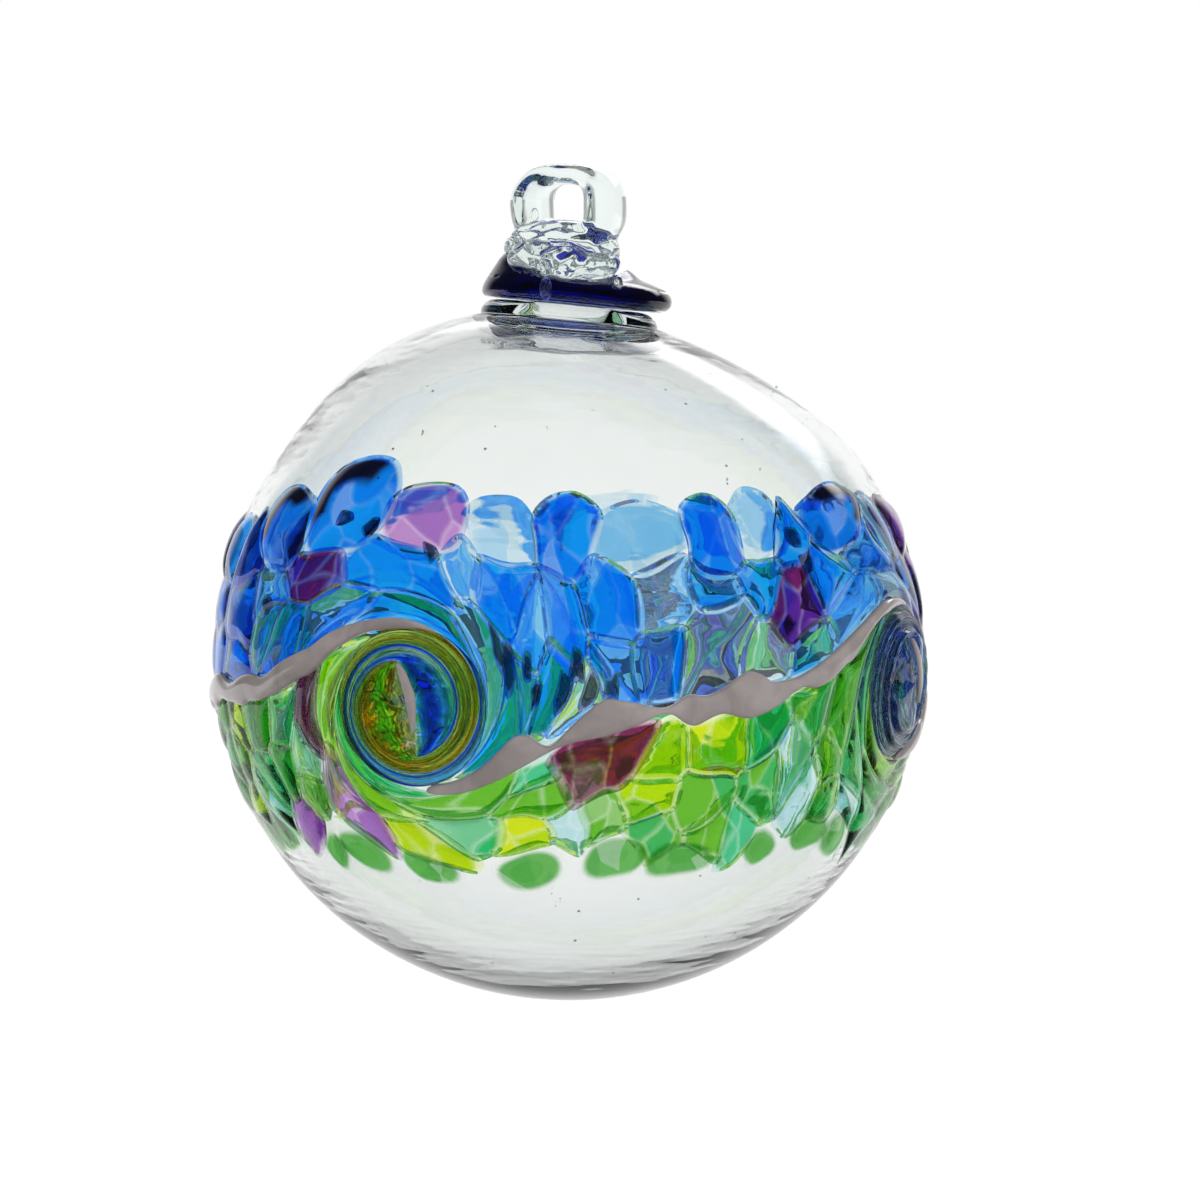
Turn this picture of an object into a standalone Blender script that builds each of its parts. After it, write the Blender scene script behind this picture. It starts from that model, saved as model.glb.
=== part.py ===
"""Hanging art glass orb: a blown clear ball with a band of coloured glass chips, a trailed line drawn
into four twirls, a cobalt seal over the blowing hole and a clear hanging loop.

The origin is the top of the loop's hole, where a hook or ribbon bears, with +Z up and the hole along Y.
"""

import math
import random

import bmesh
import bpy
from mathutils import Matrix, Vector

MM = 0.001

# Ball
BALL_RADIUS = 74.6 * MM
BALL_HALF_HEIGHT = 72.6 * MM
SIDE_WALL = 2.6 * MM
BASE_WALL = 4.2 * MM
BALL_SIDES = 36
OUTSIDE_STEPS = 16
INSIDE_STEPS = 12

# Neck: a rolled lip around the blowing hole, sheared off on a slant
BLOWING_HOLE_RADIUS = 8.0 * MM
LIP_RADIUS = 18.6 * MM
LIP_ROLL_RADIUS = 3.2 * MM
MOUTH_EDGE = 0.5 * MM
NECK_SLANT = math.radians(5.5)
SLANT_FADE = 14.0 * MM

# Seal
SEAL_HEIGHT = 7.5 * MM
SEAL_TOP_RADIUS = 13.6 * MM
SEAL_CROWN_RADIUS = 1.6 * MM
SEAL_RADIUS = 19.6 * MM
SEAL_ROLL_RADIUS = 3.0 * MM
SPIGOT_LENGTH = 5.0 * MM
SPIGOT_TAPER = 0.4 * MM
SEAL_SIDES = 28

# Loop
HOLE_WIDTH = 9.0 * MM
HOLE_HEIGHT = 9.7 * MM
LEG_THICKNESS = 8.0 * MM
LEG_DEPTH = 12.0 * MM
TOP_THICKNESS = 4.5 * MM
TOP_DEPTH = 10.0 * MM
FOOT_HEIGHT = 7.6 * MM
FOOT_TOP_RADIUS = 11.6 * MM
FOOT_RADIUS = 12.8 * MM
FOOT_EDGE = 1.2 * MM
LOOP_STEPS = (28, 12)

# Coloured band, measured along the ball's surface from the trailed line
FRONT_TURN = math.radians(23.0)
BAND_DROP = 4.0 * MM
BAND_TILT = math.radians(-1.0)
UPPER_BAND = 43.0 * MM
UPPER_ROW = 21.0 * MM
LOWER_ROW = 20.0 * MM
LOWER_BAND = 37.0 * MM
CHIP_THICKNESS = 1.4 * MM
CHIP_EDGE = 0.6 * MM
CHIP_GAP = 0.9 * MM
CHIP_SLANT = 3.0 * MM
ROW_CHIPS = {"sky_chip": 13, "blue_chip": 12, "green_chip": 12, "lime_chip": 12}
ROW_STEPS = {"sky_chip": (7, 4), "blue_chip": (9, 5), "green_chip": (9, 5), "lime_chip": (7, 3)}
CORNER_ROUNDING = 0.55

# Trailed line
TRAIL_WIDTH = 5.0 * MM
TRAIL_THICKNESS = 1.3 * MM
TRAIL_START = 7.0 * MM
TRAIL_STEPS = (26, 2)

# Twirls
TWIRL_COUNT = 4
FIRST_TWIRL = math.radians(-24.0)
TWIRL_RADIUS = 14.6 * MM
TWIRL_TWIST = math.radians(100.0)
TWIRL_FADE = 3.2
TWIRL_RIM = 1.0 * MM
TWIRL_DOME = 1.6 * MM
TWIRL_RIDGE = 0.5 * MM
TWIRL_TURNS = 1.25
TWIRL_SIDES = 20
TWIRL_RINGS = 10

# Fused pieces are drawn this far apart, and points nearer than the other distance are one point
SEAT_GAP = 0.3 * MM
MERGE = 0.01 * MM

# The stack hangs from the top of the loop's hole
LIP_TOP_Z = -(HOLE_HEIGHT + FOOT_HEIGHT + SEAL_HEIGHT + 2.0 * SEAT_GAP)
LIP_ROLL_Z = LIP_TOP_Z - LIP_ROLL_RADIUS
BALL_Z = LIP_ROLL_Z - BALL_HALF_HEIGHT * math.sqrt(1.0 - (LIP_RADIUS / BALL_RADIUS) ** 2)

GLASS_COLOURS = {
    "ball": (0.90, 0.93, 0.92),
    "seal": (0.01, 0.01, 0.10),
    "loop": (0.88, 0.92, 0.91),
    "trail": (0.30, 0.26, 0.25),
    "twirl": (0.38, 0.42, 0.05),
    "sky_chip": (0.10, 0.36, 0.80),
    "blue_chip": (0.01, 0.12, 0.80),
    "green_chip": (0.01, 0.35, 0.10),
    "lime_chip": (0.35, 0.62, 0.03),
}


def clear_scene():
    for existing in list(bpy.data.objects):
        bpy.data.objects.remove(existing, do_unlink=True)


def new_collection(name):
    collection = bpy.data.collections.new(name)
    bpy.context.scene.collection.children.link(collection)
    return collection


def glass(name, colour, transmission):
    """Glossy glass of one colour, clear or opaque."""
    material = bpy.data.materials.new(name)
    material.use_nodes = True
    shader = material.node_tree.nodes["Principled BSDF"]
    shader.inputs["Base Color"].default_value = (*colour, 1.0)
    shader.inputs["Roughness"].default_value = 0.05
    shader.inputs["Metallic"].default_value = 0.0
    shader.inputs["IOR"].default_value = 1.5
    shader.inputs["Transmission Weight"].default_value = transmission
    return material


def add_piece(name, mesh, kind, transmission=1.0):
    piece = bpy.data.objects.new(name, mesh)
    parts.objects.link(piece)
    mesh.materials.append(glass(name + "_glass", GLASS_COLOURS[kind], transmission))
    mesh.shade_smooth()
    return piece


def mesh_from(bm, name):
    """Turns the faces of a closed body outwards, also on a bent sliver, and makes it a mesh."""
    bmesh.ops.recalc_face_normals(bm, faces=bm.faces)
    if bm.calc_volume(signed=True) < 0.0:
        bmesh.ops.reverse_faces(bm, faces=bm.faces)
    mesh = bpy.data.meshes.new(name)
    bm.to_mesh(mesh)
    bm.free()
    return mesh


def evaluated_mesh(source, name):
    """The mesh that an object's modifiers or bevel give, in world space, with the object removed."""
    bpy.context.view_layer.update()
    graph = bpy.context.evaluated_depsgraph_get()
    mesh = bpy.data.meshes.new_from_object(source.evaluated_get(graph))
    mesh.transform(source.matrix_world)
    bm = bmesh.new()
    bm.from_mesh(mesh)
    bmesh.ops.remove_doubles(bm, verts=bm.verts, dist=MERGE)
    bpy.data.meshes.remove(mesh)
    bpy.data.objects.remove(source, do_unlink=True)
    return mesh_from(bm, name)


def arc(centre_r, centre_z, radius, start, end, steps):
    """Profile points (r, z) on an arc, with angles in degrees from the outward direction."""
    points = []
    for i in range(steps + 1):
        angle = math.radians(start + (end - start) * i / steps)
        points.append((centre_r + radius * math.cos(angle), centre_z + radius * math.sin(angle)))
    return points


def turned(name, profile, sides):
    """A closed body turned around Z from a profile that runs down its outer side."""
    bm = bmesh.new()
    rim = [bm.verts.new((r, 0.0, z)) for r, z in profile]
    for upper, lower in zip(rim, rim[1:]):
        bm.edges.new((upper, lower))
    mesh = bpy.data.meshes.new(name)
    bm.to_mesh(mesh)
    bm.free()
    source = bpy.data.objects.new(name, mesh)
    parts.objects.link(source)
    screw = source.modifiers.new("Turn", "SCREW")
    screw.steps = sides
    screw.render_steps = sides
    screw.use_merge_vertices = True
    screw.merge_threshold = MERGE
    return evaluated_mesh(source, name)


def side_on_view():
    """The level direction that points to the right of the orb's front."""
    return Vector((math.cos(FRONT_TURN), math.sin(FRONT_TURN), 0.0))


def slanted(mesh):
    """Lets the neck slope down to the right of the front, dying out over the ball's shoulder."""
    for vertex in mesh.vertices:
        share = min(max((vertex.co.z - LIP_TOP_Z) / SLANT_FADE + 1.0, 0.0), 1.0)
        vertex.co.z -= share * math.tan(NECK_SLANT) * vertex.co.dot(side_on_view())


def ball_meridian(radius, half_height, start_r, end_r, steps):
    """Profile points down an oval around the ball's centre, from one radius above to another below."""
    start = math.acos(start_r / radius)
    end = -math.acos(end_r / radius)
    points = []
    for i in range(steps + 1):
        angle = start + (end - start) * i / steps
        points.append((radius * math.cos(angle), BALL_Z + half_height * math.sin(angle)))
    points[-1] = (end_r, points[-1][1])
    return points


def ball_shell():
    """The blown ball: inside, blowing hole, rolled lip and outside as one turned profile."""
    inside = ball_meridian(
        BALL_RADIUS - SIDE_WALL, BALL_HALF_HEIGHT - BASE_WALL, BLOWING_HOLE_RADIUS, 0.0, INSIDE_STEPS)
    mouth = [(BLOWING_HOLE_RADIUS, LIP_TOP_Z - MOUTH_EDGE), (BLOWING_HOLE_RADIUS + MOUTH_EDGE, LIP_TOP_Z)]
    lip = arc(LIP_RADIUS - LIP_ROLL_RADIUS, LIP_ROLL_Z, LIP_ROLL_RADIUS, 90.0, 0.0, 5)
    outside = ball_meridian(BALL_RADIUS, BALL_HALF_HEIGHT, LIP_RADIUS, 0.0, OUTSIDE_STEPS)
    mesh = turned("globe_shell", inside[::-1] + mouth + lip + outside[1:], BALL_SIDES)
    slanted(mesh)
    return add_piece("globe_shell", mesh, "ball")


def neck_matrix():
    """Places a piece made upright around Z on the slanted top of the lip."""
    axis = side_on_view().cross(Vector((0.0, 0.0, 1.0)))
    turn = Matrix.Rotation(-NECK_SLANT, 4, axis)
    return Matrix.Translation((0.0, 0.0, LIP_TOP_Z + SEAT_GAP)) @ turn


def cobalt_seal():
    """A gathered dollop with a rolled foot, which fills the blowing hole with a short spigot."""
    spigot_radius = BLOWING_HOLE_RADIUS - 2.0 * SEAT_GAP
    crown = SEAL_CROWN_RADIUS
    roll = SEAL_ROLL_RADIUS
    profile = [(0.0, SEAL_HEIGHT)]
    profile += arc(SEAL_TOP_RADIUS - crown, SEAL_HEIGHT - crown, crown, 90.0, 20.0, 3)
    profile += arc(SEAL_RADIUS - roll, roll, roll, 55.0, -90.0, 6)
    profile += [(spigot_radius, 0.0), (spigot_radius - SPIGOT_TAPER, -SPIGOT_LENGTH), (0.0, -SPIGOT_LENGTH)]
    mesh = turned("cobalt_seal", profile, SEAL_SIDES)
    mesh.transform(neck_matrix())
    return add_piece("cobalt_seal", mesh, "seal")


def loop_foot():
    """The clear foot under the loop, turned."""
    base = SEAL_HEIGHT + SEAT_GAP
    profile = [(0.0, FOOT_HEIGHT), (FOOT_TOP_RADIUS - FOOT_EDGE, FOOT_HEIGHT)]
    profile += [(FOOT_TOP_RADIUS, FOOT_HEIGHT - FOOT_EDGE), (FOOT_RADIUS, FOOT_EDGE)]
    profile += [(FOOT_RADIUS - FOOT_EDGE, 0.0), (0.0, 0.0)]
    mesh = turned("loop_foot", profile, SEAL_SIDES)
    mesh.transform(neck_matrix() @ Matrix.Translation((0.0, 0.0, base)))
    foot = bpy.data.objects.new("loop_foot", mesh)
    joiners.objects.link(foot)
    foot.hide_render = True
    foot.display_type = "WIRE"
    return foot


def hanging_loop():
    """A ring around an oval hole, thinner at the top, with its lower side sunk in a clear foot."""
    bpy.ops.mesh.primitive_torus_add(
        major_segments=LOOP_STEPS[0], minor_segments=LOOP_STEPS[1], major_radius=1.0, minor_radius=0.5)
    ring = bpy.context.object
    sunk_thickness = FOOT_HEIGHT - FOOT_EDGE
    for vertex in ring.data.vertices:
        angle = math.atan2(vertex.co.y, vertex.co.x)
        around = math.atan2(vertex.co.z, math.hypot(vertex.co.x, vertex.co.y) - 1.0)
        outward = Vector((math.cos(angle), 0.0, math.sin(angle)))
        end_thickness = TOP_THICKNESS if outward.z > 0.0 else sunk_thickness
        thickness = LEG_THICKNESS + (end_thickness - LEG_THICKNESS) * outward.z ** 2
        depth = LEG_DEPTH + (TOP_DEPTH - LEG_DEPTH) * outward.z ** 2
        hole_edge = Vector((outward.x * HOLE_WIDTH, 0.0, (outward.z - 1.0) * HOLE_HEIGHT)) / 2.0
        vertex.co = hole_edge + outward * (thickness / 2.0 * (1.0 + math.cos(around)))
        vertex.co.y = depth / 2.0 * math.sin(around)
    loop = add_piece("hanging_loop", evaluated_mesh(ring, "hanging_loop"), "loop")
    union = loop.modifiers.new("Foot", "BOOLEAN")
    union.operation = "UNION"
    union.object = loop_foot()
    return loop


def twirl_centre(index):
    """Where a twirl lies along the trailed line, measured from the orb's front."""
    return BALL_RADIUS * (FIRST_TWIRL + index * 2.0 * math.pi / TWIRL_COUNT)


def drawn_in(along, up):
    """Moves a point of the straight band to where the nearest twirl has drawn it."""
    pitch = BALL_RADIUS * 2.0 * math.pi / TWIRL_COUNT
    reach = pitch / 2.0
    start = twirl_centre(0)
    centre = start + pitch * round((along - start) / pitch)
    across = along - centre
    distance = math.hypot(across, up)
    if distance >= reach:
        return along, up
    hole = TWIRL_RADIUS + CHIP_GAP
    spread = math.sqrt(hole ** 2 + distance ** 2 * (1.0 - (hole / reach) ** 2))
    far = (hole / reach) ** TWIRL_FADE
    left = ((hole / spread) ** TWIRL_FADE - far) / (1.0 - far)
    angle = math.atan2(up, across) - TWIRL_TWIST * left
    return centre + spread * math.cos(angle), spread * math.sin(angle)


def on_ball(along, up, height):
    """The point at a height above the ball's outside, by its place on the band."""
    turn = along / BALL_RADIUS
    tilt = BAND_TILT * math.sin(turn)
    latitude = (up - BAND_DROP) / BALL_RADIUS - tilt
    bearing = turn + FRONT_TURN - math.pi / 2.0
    level = Vector((math.cos(bearing), math.sin(bearing), 0.0))
    foot = level * (BALL_RADIUS * math.cos(latitude))
    foot.z = BALL_Z + BALL_HALF_HEIGHT * math.sin(latitude)
    normal = level * (math.cos(latitude) / BALL_RADIUS)
    normal.z = math.sin(latitude) / BALL_HALF_HEIGHT
    return foot + normal.normalized() * height


def even_shares(edge, steps):
    """Shares of a drawn edge, from 0 to 1, at even distances along it. edge gives its point for a share."""
    samples = 20 * steps
    points = [Vector(edge(i / samples)) for i in range(samples + 1)]
    lengths = [0.0]
    for start, end in zip(points, points[1:]):
        lengths.append(lengths[-1] + (end - start).length)
    shares = []
    at = 0
    for i in range(steps + 1):
        while at < samples and lengths[at] < lengths[-1] * i / steps:
            at += 1
        shares.append(at / samples)
    return shares


def pillow(name, steps, place, edge, crown, kind, transmission=1.0, even_side=-1.0):
    """A chip on the ball: a grid pushed out to a crowned slab. place gives the band's point for the
    grid's (x, y), each from -1 to 1, and the grid is evened out along the side y = even_side."""
    shares = even_shares(lambda share: place(2.0 * share - 1.0, even_side), steps[0])
    bm = bmesh.new()
    bmesh.ops.create_grid(bm, x_segments=steps[0], y_segments=steps[1], size=1.0)
    for vertex in bm.verts:
        column = round((vertex.co.x + 1.0) / 2.0 * steps[0])
        vertex.co.x = 2.0 * shares[column] - 1.0
    flat = {vertex: (vertex.co.x, vertex.co.y) for vertex in bm.verts}
    raised = bmesh.ops.extrude_face_region(bm, geom=bm.faces[:])["geom"]
    for vertex in [item for item in raised if isinstance(item, bmesh.types.BMVert)]:
        x, y = vertex.co.x, vertex.co.y
        swell = (1.0 - x ** 4) * (1.0 - y ** 4)
        vertex.co = on_ball(*place(x, y), SEAT_GAP + edge + (crown - edge) * swell)
    for vertex, (x, y) in flat.items():
        vertex.co = on_ball(*place(x, y), SEAT_GAP)
    return add_piece(name, mesh_from(bm, name), kind, transmission)


def rounded(x, y):
    """Draws the corners of the square from -1 to 1 inwards."""
    return (x * math.sqrt(1.0 - CORNER_ROUNDING * y * y / 2.0),
            y * math.sqrt(1.0 - CORNER_ROUNDING * x * x / 2.0))


def chip_row(kind, low, high, draw):
    """A row of chips between two heights, parted by slanting joints."""
    trail_side = -1.0 if high > 0.0 else 1.0
    count = ROW_CHIPS[kind]
    pitch = BALL_RADIUS * 2.0 * math.pi / count
    first = twirl_centre(0)
    slants = [draw.uniform(-CHIP_SLANT, CHIP_SLANT) for _ in range(count)]
    bottom = low + CHIP_GAP / 2.0
    top = high - CHIP_GAP / 2.0
    for i in range(count):
        left = first + i * pitch + CHIP_GAP / 2.0
        right = first + (i + 1) * pitch - CHIP_GAP / 2.0

        def place(x, y, left=left, right=right, lean=slants[i], next_lean=slants[(i + 1) % count]):
            x, y = rounded(x, y)
            start = left + lean * y
            end = right + next_lean * y
            along = start + (end - start) * (x + 1.0) / 2.0
            return drawn_in(along, bottom + (top - bottom) * (y + 1.0) / 2.0)

        name = f"{kind}_{i + 1:02d}"
        pillow(name, ROW_STEPS[kind], place, CHIP_EDGE, CHIP_THICKNESS, kind, even_side=trail_side)


def trail_strips():
    """The trailed line, one strip from each twirl to the next, opaque."""
    pitch = BALL_RADIUS * 2.0 * math.pi / TWIRL_COUNT
    for i in range(TWIRL_COUNT):
        start = twirl_centre(i) + TRAIL_START
        length = pitch - 2.0 * TRAIL_START

        def place(x, y, start=start, length=length):
            return drawn_in(start + length * (x + 1.0) / 2.0, y * (TRAIL_WIDTH - CHIP_GAP) / 2.0)

        pillow(f"trail_strip_{i + 1}", TRAIL_STEPS, place, CHIP_EDGE, TRAIL_THICKNESS, "trail", 0.0)


def twirls():
    """Four wound bosses, each domed with a spiral ridge, in the openings that the band leaves."""
    for i in range(TWIRL_COUNT):
        name = f"twirl_{i + 1}"
        bm = bmesh.new()
        bmesh.ops.create_uvsphere(bm, u_segments=TWIRL_SIDES, v_segments=TWIRL_RINGS, radius=1.0)
        for vertex in bm.verts:
            x, y, side = vertex.co
            share = min(math.hypot(x, y), 1.0)
            angle = math.atan2(y, x)
            fade = 1.0 - share ** 2
            height = SEAT_GAP
            if side > -0.01:
                wind = angle + TWIRL_TURNS * 2.0 * math.pi * share
                ridge = TWIRL_RIDGE * math.cos(2.0 * wind) * share * fade * 2.0
                height += TWIRL_RIM + TWIRL_DOME * fade + ridge
            along = twirl_centre(i) + TWIRL_RADIUS * share * math.cos(angle)
            vertex.co = on_ball(along, TWIRL_RADIUS * share * math.sin(angle), height)
        add_piece(name, mesh_from(bm, name), "twirl")


clear_scene()
parts = new_collection("art_glass_orb")
joiners = new_collection("joiners")
ball_shell()
cobalt_seal()
hanging_loop()
half_trail = TRAIL_WIDTH / 2.0
chip_lean = random.Random(7)
chip_row("sky_chip", UPPER_ROW, UPPER_BAND, chip_lean)
chip_row("blue_chip", half_trail, UPPER_ROW, chip_lean)
trail_strips()
twirls()
chip_row("green_chip", -LOWER_ROW, -half_trail, chip_lean)
chip_row("lime_chip", -LOWER_BAND, -LOWER_ROW, chip_lean)
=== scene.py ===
import math
import random

import bpy
from mathutils import Matrix, Vector, noise


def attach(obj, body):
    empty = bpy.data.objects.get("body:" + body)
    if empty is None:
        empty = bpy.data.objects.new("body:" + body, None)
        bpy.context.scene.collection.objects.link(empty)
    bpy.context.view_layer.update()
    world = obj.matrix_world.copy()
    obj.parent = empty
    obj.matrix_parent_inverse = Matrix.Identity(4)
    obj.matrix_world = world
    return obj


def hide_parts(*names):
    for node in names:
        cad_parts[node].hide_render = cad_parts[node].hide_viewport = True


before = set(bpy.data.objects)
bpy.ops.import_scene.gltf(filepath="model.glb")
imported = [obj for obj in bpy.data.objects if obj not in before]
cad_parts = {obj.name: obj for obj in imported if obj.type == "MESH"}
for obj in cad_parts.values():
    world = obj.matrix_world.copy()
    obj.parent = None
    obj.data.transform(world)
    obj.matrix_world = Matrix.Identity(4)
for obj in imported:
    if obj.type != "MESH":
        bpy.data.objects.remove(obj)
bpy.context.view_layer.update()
scene = bpy.context.scene
MM = 0.001

# The globe is one gather of clear soda-lime glass, blown to a hollow ball with a thicker bottom.
# The lip around the hole that the blowpipe left is rolled over, and slopes down to the right of the front.
BALL_RADIUS = 74.6 * MM
BALL_HALF_HEIGHT = 72.6 * MM
SIDE_WALL = 2.6 * MM
BASE_WALL = 4.2 * MM
BLOWING_HOLE_RADIUS = 8.0 * MM
LIP_RADIUS = 18.6 * MM
LIP_ROLL_RADIUS = 3.2 * MM
LIP_TOP_Z = -25.4 * MM
LIP_ROLL_Z = LIP_TOP_Z - LIP_ROLL_RADIUS
BALL_Z = LIP_ROLL_Z - BALL_HALF_HEIGHT * math.sqrt(1.0 - (LIP_RADIUS / BALL_RADIUS) ** 2)
NECK_SLANT = math.radians(5.5)
SLANT_FADE = 34.0 * MM
FRONT_TURN = math.radians(23.0)
RIGHT_OF_FRONT = Vector((math.cos(FRONT_TURN), math.sin(FRONT_TURN), 0.0))
BALL_MIDDLE = Vector((0.0, 0.0, BALL_Z))
MOUTH_ROUNDING = 0.8 * MM
GLOBE_STEPS = 160
OVAL_STEPS = 90
GLOBE_WAVE = 0.12 * MM
GLOBE_WAVE_LENGTH = 30.0 * MM
CORD_LENGTH = 22.0 * MM
CORD_DEPTH = 0.6 * MM
GLASS_IOR = 1.5
# Seeds are the bubbles in the wall. These are their radii in millimetres, and where they lie, in degrees over
# and under the equator.
SEED_COUNT = 80
SEED_RADII = (0.12, 0.3)
SEEDS_OVER = (26.0, 58.0)
SEEDS_UNDER = (-62.0, -30.0)
MERGE = 0.001 * MM
RANDOM_SEED = 11
draw = random.Random(RANDOM_SEED)
noise.seed_set(RANDOM_SEED)


def linear(code):
    """The linear colour of an sRGB hex value."""
    channels = [int(code[i:i + 2], 16) / 255.0 for i in (1, 3, 5)]
    return (*[c / 12.92 if c <= 0.04045 else ((c + 0.055) / 1.055) ** 2.4 for c in channels], 1.0)


def add_node(tree, kind, inputs=None, **settings):
    """Adds a node with its settings, and fills its inputs with values or links."""
    made = tree.nodes.new("ShaderNode" + kind)
    for name, value in settings.items():
        setattr(made, name, value)
    for name, value in (inputs or {}).items():
        if isinstance(value, bpy.types.NodeSocket):
            tree.links.new(value, made.inputs[name])
        else:
            made.inputs[name].default_value = value
    return made


def empty_material(name):
    material = bpy.data.materials.new(name)
    material.use_nodes = True
    material.node_tree.nodes.clear()
    return material, material.node_tree


def deselect_all():
    if bpy.context.object and bpy.context.object.mode != "OBJECT":
        bpy.ops.object.mode_set(mode="OBJECT")
    bpy.ops.object.select_all(action="DESELECT")


def turned(name, profile, steps):
    """A closed body spun around Z from an open profile of (radius, height) points."""
    deselect_all()
    bpy.ops.mesh.primitive_circle_add(vertices=len(profile), radius=1.0)
    body = bpy.context.object
    body.name = name
    mesh = body.data
    for vertex, (radius, height) in zip(mesh.vertices, profile):
        vertex.co = (radius, 0.0, height)
    last = len(profile) - 1
    bpy.ops.object.mode_set(mode="EDIT")
    bpy.ops.mesh.select_mode(type="EDGE")
    bpy.ops.mesh.select_all(action="DESELECT")
    bpy.ops.object.mode_set(mode="OBJECT")
    for edge in mesh.edges:
        edge.select = set(edge.vertices) == {0, last}
    bpy.ops.object.mode_set(mode="EDIT")
    bpy.ops.mesh.delete(type="EDGE")
    bpy.ops.mesh.select_mode(type="VERT")
    bpy.ops.mesh.select_all(action="SELECT")
    bpy.ops.mesh.spin(steps=steps, angle=2.0 * math.pi, center=(0.0, 0.0, 0.0), axis=(0.0, 0.0, 1.0))
    bpy.ops.mesh.select_all(action="SELECT")
    bpy.ops.mesh.remove_doubles(threshold=MERGE)
    bpy.ops.mesh.normals_make_consistent(inside=False)
    bpy.ops.object.mode_set(mode="OBJECT")
    bpy.ops.object.shade_smooth()
    return body


def oval(radius, half_height, start_radius, end_radius, steps):
    """Profile points down an oval around the globe's centre, from one radius above to another below."""
    start = math.acos(start_radius / radius)
    end = -math.acos(end_radius / radius)
    points = []
    for i in range(steps + 1):
        angle = start + (end - start) * i / steps
        points.append((radius * math.cos(angle), BALL_Z + half_height * math.sin(angle)))
    points[-1] = (end_radius, points[-1][1])
    return points


def arc(centre, radius, start, end, steps):
    """Profile points on an arc, with angles in degrees from the outward direction."""
    points = []
    for i in range(steps + 1):
        angle = math.radians(start + (end - start) * i / steps)
        points.append((centre[0] + radius * math.cos(angle), centre[1] + radius * math.sin(angle)))
    return points


def glass_ball(name, segments, rings, creased=False):
    """A small round gather of glass to be pressed to shape: each size is made once and copied. One that will
    be pressed flat on the globe keeps a crease around its middle."""
    size = f"gather_{segments}_{rings}_{creased}"
    if size not in bpy.data.meshes:
        deselect_all()
        bpy.ops.mesh.primitive_uv_sphere_add(segments=segments, ring_count=rings, radius=1.0)
        bpy.ops.object.shade_smooth()
        pattern = bpy.context.object
        pattern.data.name = size
        pattern.data.use_fake_user = True
        for edge in pattern.data.edges:
            level = all(abs(pattern.data.vertices[i].co.z) < 0.001 for i in edge.vertices)
            edge.use_edge_sharp = creased and level
        bpy.data.objects.remove(pattern)
    gather = bpy.data.objects.new(name, bpy.data.meshes[size].copy())
    scene.collection.objects.link(gather)
    return gather


def fuse(body, pieces):
    """Joins pieces to a body, as hot glass does."""
    deselect_all()
    for piece in pieces:
        piece.select_set(True)
    body.select_set(True)
    bpy.context.view_layer.objects.active = body
    bpy.ops.object.join()


inside = oval(BALL_RADIUS - SIDE_WALL, BALL_HALF_HEIGHT - BASE_WALL, BLOWING_HOLE_RADIUS, 0.0, OVAL_STEPS)
mouth_centre = (BLOWING_HOLE_RADIUS + MOUTH_ROUNDING, LIP_TOP_Z - MOUTH_ROUNDING)
mouth = arc(mouth_centre, MOUTH_ROUNDING, 180.0, 90.0, 4)
lip = arc((LIP_RADIUS - LIP_ROLL_RADIUS, LIP_ROLL_Z), LIP_ROLL_RADIUS, 90.0, 0.0, 10)
outside = oval(BALL_RADIUS, BALL_HALF_HEIGHT, LIP_RADIUS, 0.0, OVAL_STEPS)
globe = turned("globe", inside[::-1] + mouth + lip + outside[1:], GLOBE_STEPS)
for vertex in globe.data.vertices:
    slope = min(max((vertex.co.z - LIP_TOP_Z) / SLANT_FADE + 1.0, 0.0), 1.0)
    slope = slope ** 2 * (3.0 - 2.0 * slope)
    vertex.co.z -= slope * math.tan(NECK_SLANT) * vertex.co.dot(RIGHT_OF_FRONT)
    out = (vertex.co - BALL_MIDDLE).normalized()
    vertex.co += out * GLOBE_WAVE * noise.noise(vertex.co / GLOBE_WAVE_LENGTH)
# The melt left its seeds in the wall, over and under the band.
seeds = []
for i in range(SEED_COUNT):
    rise = math.radians(draw.choice((draw.uniform(*SEEDS_OVER), draw.uniform(*SEEDS_UNDER))))
    turn = draw.uniform(-math.pi, math.pi)
    size = draw.uniform(*SEED_RADII) * MM
    seed = glass_ball("seed", segments=10, rings=6)
    level = Vector((math.cos(turn), math.sin(turn), 0.0))
    spot = level * math.cos(rise) * (BALL_RADIUS - SIDE_WALL / 2.0)
    spot.z = BALL_Z + math.sin(rise) * (BALL_HALF_HEIGHT - SIDE_WALL / 2.0)
    for vertex in seed.data.vertices:
        vertex.co = spot + vertex.co * size
    seed.data.flip_normals()
    seeds.append(seed)
fuse(globe, seeds)

# Blown soda-lime glass: colourless where thin, with a faint grey-green in its thick edges, a fire-polished
# surface and shallow level cords that the blowing drew out.
clear_glass, tree = empty_material("clear_soda_lime_glass")
place = add_node(tree, "TexCoord")
stretched = add_node(tree, "Mapping", {"Vector": place.outputs["Object"], "Scale": (1.0, 1.0, 5.0)})
cords = add_node(tree, "TexNoise", {
    "Vector": stretched.outputs[0], "Scale": 1.0 / CORD_LENGTH, "Detail": 2.0})
ripple = add_node(tree, "Bump", {"Height": cords.outputs["Fac"], "Strength": 0.15, "Distance": CORD_DEPTH})
shader = add_node(tree, "BsdfPrincipled", {
    "Base Color": linear("#FBFDFC"), "Roughness": 0.0, "IOR": GLASS_IOR, "Transmission Weight": 1.0,
    "Normal": ripple.outputs[0]})
body = add_node(tree, "VolumeAbsorption", {"Color": linear("#B4BCB8"), "Density": 18.0})
add_node(tree, "OutputMaterial", {"Surface": shader.outputs[0], "Volume": body.outputs[0]})
globe.data.materials.append(clear_glass)
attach(globe, "root")
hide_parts("globe_shell")

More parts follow.
